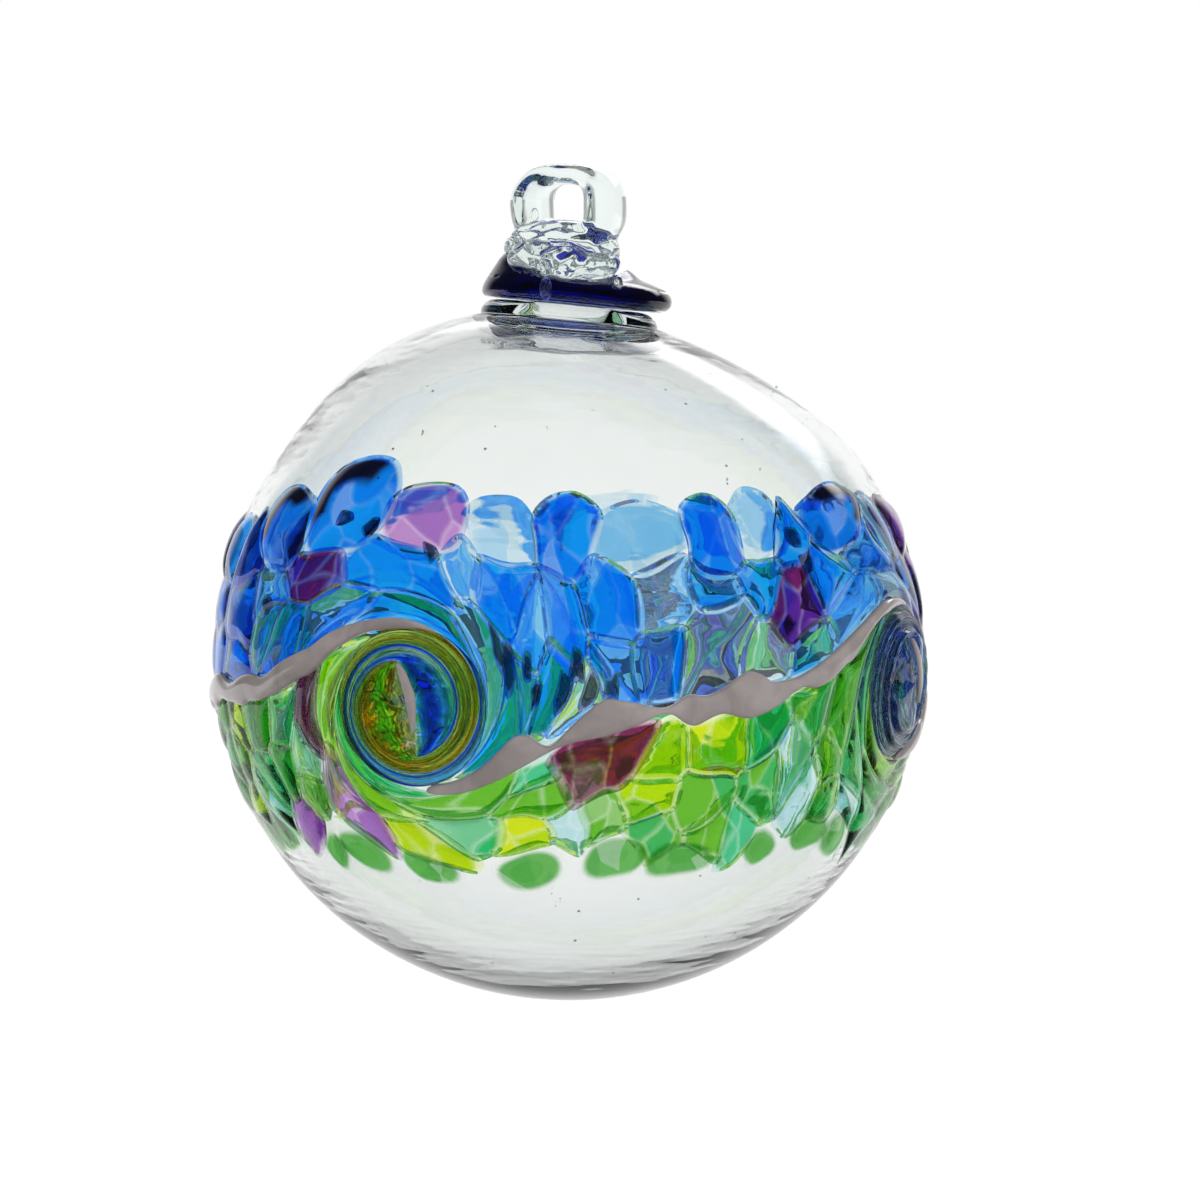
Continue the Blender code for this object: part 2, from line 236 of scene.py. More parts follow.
# The colour band is crushed coloured glass, picked up hot on the globe and melted in until each chip is a
# flat pebble. A tool then wound the band up clockwise at four places, and drew the chips there into arms.
BAND_DROP = 4.0 * MM
BAND_TILT = math.radians(-1.0)
TRAIL_WIDTH = 5.0 * MM
TWIRL_COUNT = 4
FIRST_TWIRL = math.radians(-24.0)
TWIRL_RADIUS = 14.6 * MM
TWIRL_TWIST = math.radians(100.0)
TWIRL_FADE = 3.2
CHIP_GAP = 0.9 * MM
CHIP_SINK = 0.25 * MM
CHIP_LAP = 1.1 * MM
MELT_DRIFT = 2.6 * MM
MELT_LENGTH = 11.0 * MM
GIRTH = 2.0 * math.pi * BALL_RADIUS
# The shards inside a chip, which are drawn long and bent, its pale rim, the waves in its surface, and the
# painted shade on the side of a bulky chip where the light is lost.
SHARD_WIDTH = 7.0 * MM
SHARD_HEIGHT = 12.0 * MM
SHARD_BEND = 7.0 * MM
SHARD_BEND_LENGTH = 12.0 * MM
CHIP_PALE_RIM = 0.6 * MM
CHIP_WAVE = 1.5 * MM
CHIP_WAVE_LENGTH = 14.0 * MM
# Painted shade: the near-black navy that stands for the light lost on a bulky chip's steep side.
LEE_PAINTED_SHADE = "#0C0E2A"


def twirl_centre(index):
    """Where a twirl lies along the trailed line, measured from the orb's front."""
    return BALL_RADIUS * (FIRST_TWIRL + index * 2.0 * math.pi / TWIRL_COUNT)


def drawn_in(along, up):
    """Moves a point of the straight band to where the nearest twirl has drawn it."""
    pitch = GIRTH / TWIRL_COUNT
    reach = pitch / 2.0
    start = twirl_centre(0)
    centre = start + pitch * round((along - start) / pitch)
    across = along - centre
    distance = math.hypot(across, up)
    if distance >= reach:
        return along, up
    hole = TWIRL_RADIUS + CHIP_GAP
    spread = math.sqrt(hole ** 2 + distance ** 2 * (1.0 - (hole / reach) ** 2))
    far = (hole / reach) ** TWIRL_FADE
    left = ((hole / spread) ** TWIRL_FADE - far) / (1.0 - far)
    angle = math.atan2(up, across) - TWIRL_TWIST * left
    return centre + spread * math.cos(angle), spread * math.sin(angle)


def on_ball(along, up, height):
    """The point at a height over the globe's outside, for a place in the band."""
    turn = along / BALL_RADIUS
    tilt = BAND_TILT * math.sin(turn)
    latitude = (up - BAND_DROP) / BALL_RADIUS - tilt
    bearing = turn + FRONT_TURN - math.pi / 2.0
    level = Vector((math.cos(bearing), math.sin(bearing), 0.0))
    foot = level * (BALL_RADIUS * math.cos(latitude))
    foot.z = BALL_Z + BALL_HALF_HEIGHT * math.sin(latitude)
    normal = level * (math.cos(latitude) / BALL_RADIUS)
    normal.z = math.sin(latitude) / BALL_HALF_HEIGHT
    return foot + normal.normalized() * height


def coloured_glass(name, body, streak, pale, fade, seam=0.35):
    """Chip glass: shards of three shades lie in each chip, which thins out to a pale rim over the fade. The
    lee side of a bulky chip is so steep that the light from behind is lost there, so a painted shade darkens
    it to near black."""
    material, tree = empty_material(name)
    unwound = add_node(tree, "Attribute", attribute_name="unwound")
    bends = add_node(tree, "TexNoise", {
        "Vector": unwound.outputs["Vector"], "Scale": 1.0 / SHARD_BEND_LENGTH, "Detail": 1.0})
    bent = add_node(tree, "VectorMath", {
        0: bends.outputs["Color"], 1: (SHARD_BEND,) * 3, 2: unwound.outputs["Vector"]},
        operation="MULTIPLY_ADD")
    shape = add_node(tree, "VectorMath", {
        0: bent.outputs[0], 1: (1.0 / SHARD_WIDTH, 1.0 / SHARD_HEIGHT, 0.0)}, operation="MULTIPLY")
    shards = add_node(tree, "TexVoronoi", {"Vector": shape.outputs[0], "Scale": 1.0})
    chance = add_node(tree, "SeparateColor", {0: shards.outputs["Color"]})
    shades = add_node(tree, "ValToRGB", {0: chance.outputs[0]})
    ramp = shades.color_ramp
    ramp.interpolation = "CONSTANT"
    ramp.elements[0].color = linear(body)
    ramp.elements[1].position = 0.5
    ramp.elements[1].color = linear(streak)
    ramp.elements.new(0.82).color = [0.75 * a + 0.25 * b for a, b in zip(linear(body), linear(pale))]
    edges = add_node(tree, "TexVoronoi", {
        "Vector": shape.outputs[0], "Scale": 1.0}, feature="DISTANCE_TO_EDGE")
    border = add_node(tree, "MapRange", {
        "Value": edges.outputs["Distance"], "From Max": 0.07, "To Min": seam, "To Max": 0.0})
    seamed = add_node(tree, "Mix", {
        0: border.outputs[0], 6: shades.outputs[0], 7: linear(pale)}, data_type="RGBA")
    core = add_node(tree, "Attribute", attribute_name="core")
    depth = add_node(tree, "MapRange", {
        "Value": core.outputs["Fac"], "From Min": CHIP_PALE_RIM, "From Max": fade * MM},
        interpolation_type="SMOOTHSTEP")
    thinned = add_node(tree, "Mix", {
        0: depth.outputs[0], 6: linear(pale), 7: seamed.outputs[2]}, data_type="RGBA")
    # Painted shade: the chip's colour goes near black where this mask is set.
    painted_lee_shade = add_node(tree, "Attribute", attribute_name="painted_lee_shade")
    colour = add_node(tree, "Mix", {
        0: painted_lee_shade.outputs["Fac"], 6: thinned.outputs[2], 7: linear(LEE_PAINTED_SHADE)}, data_type="RGBA")
    place = add_node(tree, "TexCoord")
    waves = add_node(tree, "TexNoise", {
        "Vector": place.outputs["Object"], "Scale": 1.0 / CHIP_WAVE_LENGTH, "Detail": 1.0})
    ripple = add_node(tree, "Bump", {
        "Height": waves.outputs["Fac"], "Strength": 0.3, "Distance": CHIP_WAVE})
    shader = add_node(tree, "BsdfPrincipled", {
        "Base Color": colour.outputs[2], "Roughness": 0.0, "IOR": GLASS_IOR, "Transmission Weight": 1.0,
        "Normal": ripple.outputs[0]})
    add_node(tree, "OutputMaterial", {"Surface": shader.outputs[0]})
    return material


# Soda-lime glass stained with metal oxides, each chip one colour: cobalt gives the blues, manganese the
# violets, chromium and copper the greens, iron and chromium the limes.
GLASSES = {
    "c": coloured_glass("cobalt_blue_glass", "#0A86FC", "#109CFF", "#C8E6FF", 1.8, 0.15),
    "b": coloured_glass("deep_blue_glass", "#12A0FC", "#1AB0FF", "#D0EAFF", 1.8, 0.15),
    "s": coloured_glass("sky_blue_glass", "#78CAFC", "#3CB2FC", "#DCF1FF", 1.8, 0.2),
    "p": coloured_glass("pale_blue_glass", "#DAEFFC", "#BCE2FC", "#F2FAFE", 2.0),
    "w": coloured_glass("clear_chip_glass", "#EAF4F7", "#D0E8F6", "#F6FBFC", 2.0),
    "d": coloured_glass("slate_glass", "#50586C", "#4C4C68", "#A8B4CC", 0.9, 0.0),
    "v": coloured_glass("violet_glass", "#CC98DA", "#B078CC", "#F2E4F6", 2.0),
    "u": coloured_glass("purple_glass", "#6A2CA0", "#882470", "#D8BCE4", 1.8),
    "e": coloured_glass("emerald_glass", "#30C472", "#54D094", "#DFF7EA", 2.2),
    "g": coloured_glass("leaf_green_glass", "#72C438", "#4CBE64", "#E9F8D8", 2.2),
    "l": coloured_glass("lime_glass", "#BCE614", "#84CC24", "#F6FCD2", 2.2),
    "y": coloured_glass("yellow_lime_glass", "#DEEE24", "#C4E418", "#FAFCD0", 2.2),
    "a": coloured_glass("aqua_glass", "#C8ECF0", "#9CE0D0", "#EEF9FA", 2.2),
    "m": coloured_glass("plum_glass", "#84345C", "#6C2468", "#DCB8C8", 1.8),
    "k": coloured_glass("soft_green_glass", "#5CB450", "#68BC58", "#FDFEFC", 2.4, 0.0),
}
# The cutting list of the chips, in rows from the top of the band down. A row has the height of its middle
# over the trailed line and how far its chips stray up and down, both in millimetres, the CAD row that it
# stands for, and each chip's glass and width across the front, from left to right, with a capital for a bulky
# chip. The last word gives the glasses around the back.
ROWS = [
    (33.0, 2.6, "sky_chip",
     "c13 s13 c13 C15 C25 v9 p23 c17 w14 c12 p9 c16 C15 p15 v13 p13",
     "csbpbspwbpbsbc"),
    (20.0, 5.5, "blue_chip",
     "b14 s13 b14 s10 u11 b22 p9 b8 s9 b9 b10 p12 s11 b12 u8 b14 s14 s12 v12 p12",
     "sbspspsvsbspspbs"),
    (8.5, 4.0, "blue_chip",
     "b14 s12 b13 s12 b12 b10 b13 s8 b6 s8 b6 p6 b11 b11 w12 w12 s13 s11 p13 v12 p12 p10",
     "sbspwspbspwsbspw"),
    (-8.0, 3.6, "green_chip",
     "e14 g12 y13 g12 e12 m9 l13 e12 g11 e11 m19 l12 y11 e13 g13 g13 e12 l11 g11 a10",
     "gelgegealgeglegm"),
    (-16.0, 4.8, "green_chip",
     "g13 e12 l12 e12 g12 a11 v11 l11 e11 g12 g12 l11 g12 g13 a11 g13 e12 g12 l11 e11",
     "gelgaegyglgeagle"),
    (-24.0, 3.6, "lime_chip",
     "g13 g12 y12 a12 v11 g10 v12 y17 y15 a15 g12 g12 e12 a13 g12 a12 e12 g11 l11",
     "gylagelgalegylag"),
    (-31.5, 2.0, "lime_chip",
     "k16 k15 k17 k16 k15 k19 k15 k13 k17 k16 k15 k17 k16 k15",
     "kkkkkkkkkkkkk"),
]
# Slate flakes under the blue chips: where each lies along the straight band and over the line, in
# millimetres, and the least and the most that a flake reaches out from there.
FLAKES = [
    (-24.0, 14.0), (-21.0, 12.0), (-15.0, 13.0), (-12.0, 9.0), (-6.0, 8.5), (-3.0, 11.0), (1.0, 7.0),
    (7.0, 6.0), (-34.0, 27.0), (-46.0, 34.0), (-53.0, 35.0), (50.0, 30.0), (53.0, 24.0), (48.0, 12.0),
    (-70.0, 16.0), (98.0, 9.0), (126.0, 14.0), (150.0, 8.0), (172.0, 21.0), (206.0, 7.0)]
FLAKE_REACH = (1.2, 3.2)
FLAKE_CORNERS = 7
FLAKE_STRETCH = 1.3
# How much of an outline's corners each round of melting takes off.
SKY_CUTS = (0.32, 0.25, 0.25)
CHIP_CUTS = (0.13, 0.25, 0.25)
OVAL_CUTS = (0.25,)
FLAKE_CUTS = (0.15, 0.25)
# Thicknesses of the pressed chips, and half widths and heights of the soft ovals that end the band below,
# each from the least to the most in millimetres.
SKY_THICKNESS = (1.1, 1.7)
CHIP_THICKNESS = (0.4, 0.9)
OVAL_HALF_WIDTH = (7.0, 9.0)
OVAL_HALF_HEIGHT = (5.4, 6.6)
OVAL_CORNERS = 16
# Glass that melted in to a film, and how far the chips of the top row lap over their neighbours. The pale
# ones there and those around the back are flatter.
FILM = 0.1 * MM
SKY_LAP = 1.4 * MM
FLAT_SHARE = 0.4
# A heavier chip takes more room from its neighbours, as a share of the way between their middles. Each lies a
# share of its width off its place.
WEIGHT_SPREAD = 0.1
BULKY_WEIGHT = 0.12
PLACE_SLACK = 0.25
# The band's edges, how far a chip strays over them in millimetres, and where the upper edge peaks: the place
# along the band, the height and the reach of each peak in millimetres.
UPPER_BAND = 43.0 * MM
LOWER_BAND = 39.0 * MM
EDGE_STRAY = 1.6
BACK_DIP = 5.0 * MM
PEAKS = [(-54.0, 11.0, 18.0), (224.0, 9.0, 8.0)]
# Points around a chip's rim, in a multiple that keeps the kinds of ball few, and rings over it and under it.
RIM_SPACING = 1.4 * MM
RIM_MULTIPLE = 8
RIM_FEWEST = 32
RIM_MOST = 112
FINE_STEPS = 12
CHIP_RINGS = 16
# The painted shade on the lee of a bulky chip: which way it faces, with its first part away from the front's
# middle, the part of the way from the chip's middle to its rim, and how sharply it ends.
LEE_WAY = (0.6, 0.8)
LEE_FROM = 0.44
LEE_TO = 0.92
LEE_CONTRAST = 5.0
LEE_CUT = 0.8


def upper_edge(along):
    """How far the band reaches up: highest left of the front, and lowest at the back but for one chip."""
    edge = UPPER_BAND + BACK_DIP * (math.cos(along / BALL_RADIUS) - 1.0)
    for place, rise, reach in PEAKS:
        edge += rise * MM * math.exp(-((along - place * MM) / (reach * MM)) ** 2)
    return edge


NODE_COUNTS = {"sky_chip": 13, "blue_chip": 12, "green_chip": 12, "lime_chip": 12}


def cut_back(polygon, point, normal):
    """What is left of a flat outline on the inner side of a line."""
    kept = []
    for i, here in enumerate(polygon):
        there = polygon[(i + 1) % len(polygon)]
        d_here = (here - point).dot(normal)
        d_there = (there - point).dot(normal)
        if d_here <= 0.0:
            kept.append(here)
        if (d_here <= 0.0) != (d_there <= 0.0):
            kept.append(here.lerp(there, d_here / (d_here - d_there)))
    return kept


def chip_outline(middle, weight, others, low, high, lap):
    """The flat outline of one chip: what lies nearer to its middle than to any other's, by their weights."""
    reach = 40.0 * MM
    outline = [
        Vector((middle.x - reach, low)), Vector((middle.x + reach, low)),
        Vector((middle.x + reach, high)), Vector((middle.x - reach, high))]
    for other, other_weight in others:
        away = other - middle
        if 0.0 < away.length < 2.0 * reach:
            border = middle + away * (0.5 + weight - other_weight)
            outline = cut_back(outline, border + away.normalized() * lap, away.normalized())
    return outline


def melted(outline, cuts):
    """Rounds the corners of an outline as heat does, by a few rounds of cutting them off."""
    for cut in cuts:
        softer = []
        for i, here in enumerate(outline):
            there = outline[(i + 1) % len(outline)]
            softer.append(here.lerp(there, cut))
            softer.append(here.lerp(there, 1.0 - cut))
        outline = softer
    return outline


def pushed_about(flat):
    """Where the uneven melting pushed a point of the straight band."""
    drift = noise.noise_vector(Vector((*(flat / MELT_LENGTH), 0.0)))
    return flat + MELT_DRIFT * Vector((drift.x, drift.y))


def even_steps(outline):
    """Points along a flat outline, evenly spaced where the outline lies once the twirls have drawn it."""
    fine = []
    for i, here in enumerate(outline):
        there = outline[(i + 1) % len(outline)]
        for j in range(FINE_STEPS):
            fine.append(here.lerp(there, j / FINE_STEPS))
    drawn = [Vector(drawn_in(*pushed_about(p))) for p in fine]
    walked = [0.0]
    for i in range(len(fine)):
        walked.append(walked[-1] + (drawn[(i + 1) % len(fine)] - drawn[i]).length)
    count = RIM_MULTIPLE * round(walked[-1] / RIM_SPACING / RIM_MULTIPLE)
    count = min(max(count, RIM_FEWEST), RIM_MOST)
    points = []
    at = 0
    for k in range(count):
        wanted = walked[-1] * k / count
        while walked[at + 1] < wanted:
            at += 1
        share = (wanted - walked[at]) / max(walked[at + 1] - walked[at], 1e-9)
        points.append(fine[at].lerp(fine[(at + 1) % len(fine)], share))
    return points


def chip(outline, thickness, crown, rim, material, bulky):
    """A ball pressed flat into an outline, wound in with the band and laid on the globe. crown and rim are
    the powers that shape its swelling: a high crown gives a steep rim, a high rim lets it run out flat."""
    count = len(outline)
    middle = sum(outline, Vector((0.0, 0.0))) / count
    steep = Vector((math.copysign(LEE_WAY[0], middle.x), LEE_WAY[1]))
    pebble = glass_ball("chip", count, CHIP_RINGS, creased=True)
    core = pebble.data.attributes.new("core", "FLOAT", "POINT")
    painted_lee_shade = pebble.data.attributes.new("painted_lee_shade", "FLOAT", "POINT")
    unwound = pebble.data.attributes.new("unwound", "FLOAT_VECTOR", "POINT")
    for vertex in pebble.data.vertices:
        share = min(math.hypot(vertex.co.x, vertex.co.y), 1.0)
        step = round(math.atan2(vertex.co.y, vertex.co.x) / (2.0 * math.pi) * count) % count
        flat = middle.lerp(outline[step], share)
        height = -CHIP_SINK + (thickness + CHIP_SINK) * (1.0 - share ** crown) ** rim
        if vertex.co.z < -0.01:
            height = -CHIP_SINK
        core.data[vertex.index].value = (1.0 - share) * (outline[step] - middle).length
        # The mask of painted shade on the steep side of a bulky chip.
        if bulky and LEE_FROM < share < LEE_TO:
            turned_lee = (outline[step] - middle).normalized().dot(steep)
            painted_lee_shade.data[vertex.index].value = min(max(LEE_CONTRAST * turned_lee - LEE_CUT, 0.0), 1.0)
        unwound.data[vertex.index].vector = (*flat, 0.0)
        vertex.co = on_ball(*drawn_in(*pushed_about(flat)), height)
    pebble.data.materials.append(material)
    return pebble


chip_places = {}
for height, stray, row, front, around in ROWS:
    zone = "upper" if height > 0.0 else "lower"
    words = front.split()
    width = GIRTH / 2.0 / sum(float(word[1:]) for word in words)
    at = -GIRTH / 4.0
    places = []
    for word in words:
        step = width * float(word[1:])
        places.append((at + step / 2.0, word[0], PLACE_SLACK * step))
        at += step
    for kind in around:
        step = GIRTH / 2.0 / len(around)
        places.append((at + step / 2.0, kind, PLACE_SLACK * step))
        at += step
    for along, kind, slack in places:
        stretch = upper_edge(along) / UPPER_BAND if zone == "upper" else 1.0
        spot = Vector((
            along + draw.uniform(-slack, slack),
            height * MM * stretch + draw.uniform(-stray * MM, stray * MM)))
        weight = draw.uniform(-WEIGHT_SPREAD, WEIGHT_SPREAD) + (BULKY_WEIGHT if kind.isupper() else 0.0)
        chip_places.setdefault(zone, []).append((spot, weight, kind, row))
groups = {}
for zone, chips in chip_places.items():
    wrapped = [
        (middle + Vector((shift, 0.0)), weight)
        for middle, weight, kind, row in chips for shift in (-GIRTH, 0.0, GIRTH)]
    for middle, weight, kind, row in chips:
        edge = upper_edge(middle.x) if zone == "upper" else -LOWER_BAND
        edge += draw.uniform(-EDGE_STRAY, EDGE_STRAY) * MM
        beside_trail = math.copysign(TRAIL_WIDTH / 2.0 - CHIP_LAP, edge)
        low, high = min(edge, beside_trail), max(edge, beside_trail)
        if kind == "k":
            half_width = draw.uniform(*OVAL_HALF_WIDTH) * MM
            half_height = draw.uniform(*OVAL_HALF_HEIGHT) * MM
            outline = []
            for i in range(OVAL_CORNERS):
                angle = i * 2.0 * math.pi / OVAL_CORNERS
                outline.append(middle + Vector((half_width * math.cos(angle), half_height * math.sin(angle))))
            cuts, crown, rim = OVAL_CUTS, 2.0, 2.0
            thickness = FILM
        elif row == "sky_chip":
            outline = chip_outline(middle, weight, wrapped, low, high, SKY_LAP)
            cuts, crown, rim = SKY_CUTS, 2.6, 1.15
            bulk = FLAT_SHARE if abs(middle.x) > GIRTH / 4.0 or kind in "pw" else 1.0
            thickness = bulk * draw.uniform(*SKY_THICKNESS) * MM
        else:
            outline = chip_outline(middle, weight, wrapped, low, high, CHIP_LAP)
            cuts, crown, rim = CHIP_CUTS, 2.4, 1.25
            thickness = draw.uniform(*CHIP_THICKNESS) * MM
        if len(outline) < 3:
            continue
        outline = even_steps(melted(outline, cuts))
        pebble = chip(outline, thickness, crown, rim, GLASSES[kind.lower()], kind.isupper())
        pitch = GIRTH / NODE_COUNTS[row]
        index = int(((middle.x - twirl_centre(0)) % GIRTH) / pitch)
        groups.setdefault((row, index), []).append(pebble)
for along, up in FLAKES:
    outline = []
    for i in range(FLAKE_CORNERS):
        angle = i * 2.0 * math.pi / FLAKE_CORNERS
        reach = draw.uniform(*FLAKE_REACH) * MM
        outline.append(Vector((
            along * MM + reach * math.cos(angle), up * MM + FLAKE_STRETCH * reach * math.sin(angle))))
    flake = chip(even_steps(melted(outline, FLAKE_CUTS)), FILM, 2.0, 1.0, GLASSES["d"], False)
    index = int(((along * MM - twirl_centre(0)) % GIRTH) / (GIRTH / NODE_COUNTS["blue_chip"]))
    groups["blue_chip", index].append(flake)
for (row, index), pebbles in sorted(groups.items()):
    piece = pebbles[0]
    if len(pebbles) > 1:
        fuse(piece, pebbles[1:])
    piece.name = f"{row}s_{index + 1:02d}"
    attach(piece, "root")
    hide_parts(f"{row}_{index + 1:02d}")

# The trailed line is a thread of opaque taupe glass, laid around the band while hot. The twirls part it
# into four strips, each flattened, a little uneven in width and wound in at both its ends.
TRAIL_THICKNESS = 1.6 * MM
TRAIL_BODY = 5.2 * MM
TRAIL_START = 4.0 * MM
TRAIL_TAPER = 1.5 * TRAIL_WIDTH
TRAIL_UNEVEN = 1.3
TRAIL_THINNEST = 0.2
TRAIL_SWELL_LENGTH = 11.0 * MM
TRAIL_STRAY = 0.9 * MM
TRAIL_STRAY_LENGTH = 8.0 * MM
WISP_LENGTH = 7.0 * MM

# Opaque soda-lime glass, fire-polished: a warm grey that is a little paler and darker in long wisps.
taupe_glass, tree = empty_material("opaque_taupe_glass")
place = add_node(tree, "TexCoord")
wisps = add_node(tree, "TexNoise", {
    "Vector": place.outputs["Object"], "Scale": 1.0 / WISP_LENGTH, "Detail": 3.0, "Distortion": 0.6})
shade = add_node(tree, "MapRange", {"Value": wisps.outputs["Fac"], "From Min": 0.35, "From Max": 0.7})
colour = add_node(tree, "Mix", {
    0: shade.outputs[0], 6: linear("#8A8280"), 7: linear("#A09896")}, data_type="RGBA")
shader = add_node(tree, "BsdfPrincipled", {
    "Base Color": colour.outputs[2], "Roughness": 0.12, "IOR": GLASS_IOR, "Coat Weight": 0.6,
    "Coat Roughness": 0.03})
add_node(tree, "OutputMaterial", {"Surface": shader.outputs[0]})
for i in range(TWIRL_COUNT):
    strip = glass_ball(f"trail_{i + 1}", segments=20, rings=150)
    start = twirl_centre(i) + TRAIL_START
    end = twirl_centre(i + 1) - TRAIL_START
    for vertex in strip.data.vertices:
        turn = math.acos(min(max(vertex.co.z, -1.0), 1.0))
        share = turn / math.pi
        around = math.atan2(vertex.co.y, vertex.co.x)
        along = start + (end - start) * share
        to_end = min(share, 1.0 - share) * (end - start)
        ends = math.sqrt(min(to_end / TRAIL_TAPER, 1.0))
        swell = 1.0 + TRAIL_UNEVEN * noise.noise(Vector((along / TRAIL_SWELL_LENGTH, 3.0 * i, 0.0)))
        side = math.copysign(4.0, math.cos(around))
        stray = TRAIL_STRAY * noise.noise(Vector((along / TRAIL_STRAY_LENGTH, 3.0 * i, side)))
        up = TRAIL_BODY / 2.0 * ends * max(swell, TRAIL_THINNEST) * math.cos(around)
        up += stray * abs(math.cos(around))
        height = TRAIL_THICKNESS * ends * max(math.sin(around), 0.0) ** 0.45
        if math.sin(around) < -0.01:
            height = -CHIP_SINK
        vertex.co = on_ball(*drawn_in(*pushed_about(Vector((along, up)))), height)
    strip.data.materials.append(taupe_glass)
    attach(strip, "root")
    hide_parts(f"trail_strip_{i + 1}")

# Each twirl is where a hot tool took hold of the band and turned it clockwise, once and a quarter. Its
# middle turned as one lump, with the line standing up through it, and its rim was drawn out into threads.
TWIRL_CORE = 9.6 * MM
TWIRL_LUMP_TURN = math.radians(440.0)
TWIRL_RIM = 0.8 * MM
TWIRL_DOME = 2.0 * MM
TWIRL_RIDGE = 0.45 * MM
TWIRL_LAP = 1.6 * MM
TWIRL_EDGE = TWIRL_RADIUS + TWIRL_LAP
VIOLET_TWIRLS = (1, 2)
# The line's own end stands in the lump as a tongue: three points of its curve, from the top down.
TONGUE = [Vector((-1.2 * MM, 9.0 * MM)), Vector((2.9 * MM, 4.0 * MM)), Vector((2.0 * MM, -4.6 * MM))]
TONGUE_WIDTH = 2.2 * MM
TONGUE_RISE = 0.5 * MM
# Knots push the threads aside, most in the loose glass from under the line. Each twirl reads its pattern from
# another layer of the same knots.
KNOT_LENGTH = 5.0 * MM
KNOT_HEIGHT = 1.0 * MM
LOOSE_STRAY = 9.0 * MM
LOOSE_TO = -3.0 * MM
TIGHT_STRAY = 3.0 * MM
TIGHT_FROM = 2.0 * MM
LAYER_STEP = 40.0 * MM

# The band's own glasses, drawn through each other: lime, amber and green from under the line, taupe from the
# line, aqua and deep blue from over it. The second and third twirl took up violet and slate instead of the
# limes. The pattern is read in the band's place before it was wound.
LIME_STOPS = [
    (0.0, "#8CD46C"), (0.06, "#E4F060"), (0.09, "#4C8428"), (0.12, "#C8DC40"), (0.15, "#B07828"),
    (0.18, "#E0E060"), (0.2, "#9C7000"), (0.26, "#7C5800"), (0.29, "#C8A818"), (0.31, "#1C5010"),
    (0.34, "#7CCC18"), (0.365, "#18580C"), (0.39, "#B8E428"), (0.415, "#307414"), (0.428, "#8C4410"),
    (0.448, "#743414"), (0.456, "#E8EC60"), (0.464, "#A0968F"), (0.55, "#A0968F"), (0.558, "#D0F6FF"),
    (0.58, "#3CB4FF"), (0.61, "#1058FF"), (0.65, "#0828D0"), (0.71, "#1048F4"), (0.745, "#3C9CFF"),
    (0.77, "#1448A0"), (0.79, "#34C0A0"), (0.815, "#D0D4E8"), (0.85, "#18703C"), (0.88, "#C8F0A0"),
    (0.93, "#3C9CF0"), (1.0, "#78C8F4")]
VIOLET_STOPS = [
    (0.0, "#8CD46C"), (0.07, "#C0E8D0"), (0.1, "#3C8468"), (0.13, "#C8BCF0"), (0.17, "#4C4C94"),
    (0.21, "#A894E8"), (0.26, "#483C90"), (0.3, "#48C09C"), (0.34, "#246458"), (0.38, "#88E0D8"),
    (0.42, "#3468B0"), (0.455, "#6C58B4"), (0.472, "#A8A09C"), (0.53, "#A8A09C"), (0.55, "#D0ECFC"),
    (0.58, "#5C8CFF"), (0.63, "#2838B0"), (0.69, "#5C84F0"), (0.73, "#34347C"), (0.77, "#7CDCC8"),
    (0.8, "#C0B4F0"), (0.85, "#4C5C90"), (0.89, "#D8F0F0"), (0.94, "#8CA8F0"), (1.0, "#B8D4F8")]


def wound_glass(name, stops):
    """Glass in threads, from the bottom of the band to its top."""
    material, tree = empty_material(name)
    unwound = add_node(tree, "Attribute", attribute_name="unwound")
    knots = add_node(tree, "TexNoise", {
        "Vector": unwound.outputs["Vector"], "Scale": 1.0 / KNOT_LENGTH, "Detail": 1.0, "Distortion": 1.2})
    either_way = add_node(tree, "VectorMath", {
        0: knots.outputs["Color"], 1: (0.5, 0.5, 0.5)}, operation="SUBTRACT")
    parts = add_node(tree, "SeparateXYZ", {0: unwound.outputs["Vector"]})
    loose = add_node(tree, "MapRange", {
        "Value": parts.outputs["Y"], "From Min": LOOSE_TO, "From Max": TIGHT_FROM,
        "To Min": LOOSE_STRAY, "To Max": TIGHT_STRAY})
    strayed = add_node(tree, "VectorMath", {
        0: either_way.outputs[0], "Scale": loose.outputs[0]}, operation="SCALE")
    found = add_node(tree, "VectorMath", {
        0: unwound.outputs["Vector"], 1: strayed.outputs[0]}, operation="ADD")
    parts = add_node(tree, "SeparateXYZ", {0: found.outputs[0]})
    across = add_node(tree, "MapRange", {
        "Value": parts.outputs["Y"], "From Min": -TWIRL_EDGE, "From Max": TWIRL_EDGE})
    bands = add_node(tree, "ValToRGB", {0: across.outputs[0]})
    ramp = bands.color_ramp
    while len(ramp.elements) < len(stops):
        ramp.elements.new(0.5)
    for element, (position, code) in zip(ramp.elements, stops):
        element.position = position
        element.color = linear(code)
    lumps = add_node(tree, "Bump", {
        "Height": knots.outputs["Fac"], "Strength": 0.5, "Distance": KNOT_HEIGHT})
    shader = add_node(tree, "BsdfPrincipled", {
        "Base Color": bands.outputs[0], "Roughness": 0.0, "IOR": GLASS_IOR, "Transmission Weight": 1.0,
        "Normal": lumps.outputs[0]})
    add_node(tree, "OutputMaterial", {"Surface": shader.outputs[0]})
    return material


wound_lime = wound_glass("wound_lime_glass", LIME_STOPS)
wound_violet = wound_glass("wound_violet_glass", VIOLET_STOPS)


def wound(distance):
    """How far the twirl turned the band at a distance from its middle."""
    if distance < TWIRL_CORE:
        return TWIRL_LUMP_TURN
    share = min((distance - TWIRL_CORE) / (TWIRL_EDGE - TWIRL_CORE), 1.0)
    return TWIRL_LUMP_TURN + (TWIRL_TWIST - TWIRL_LUMP_TURN) * share


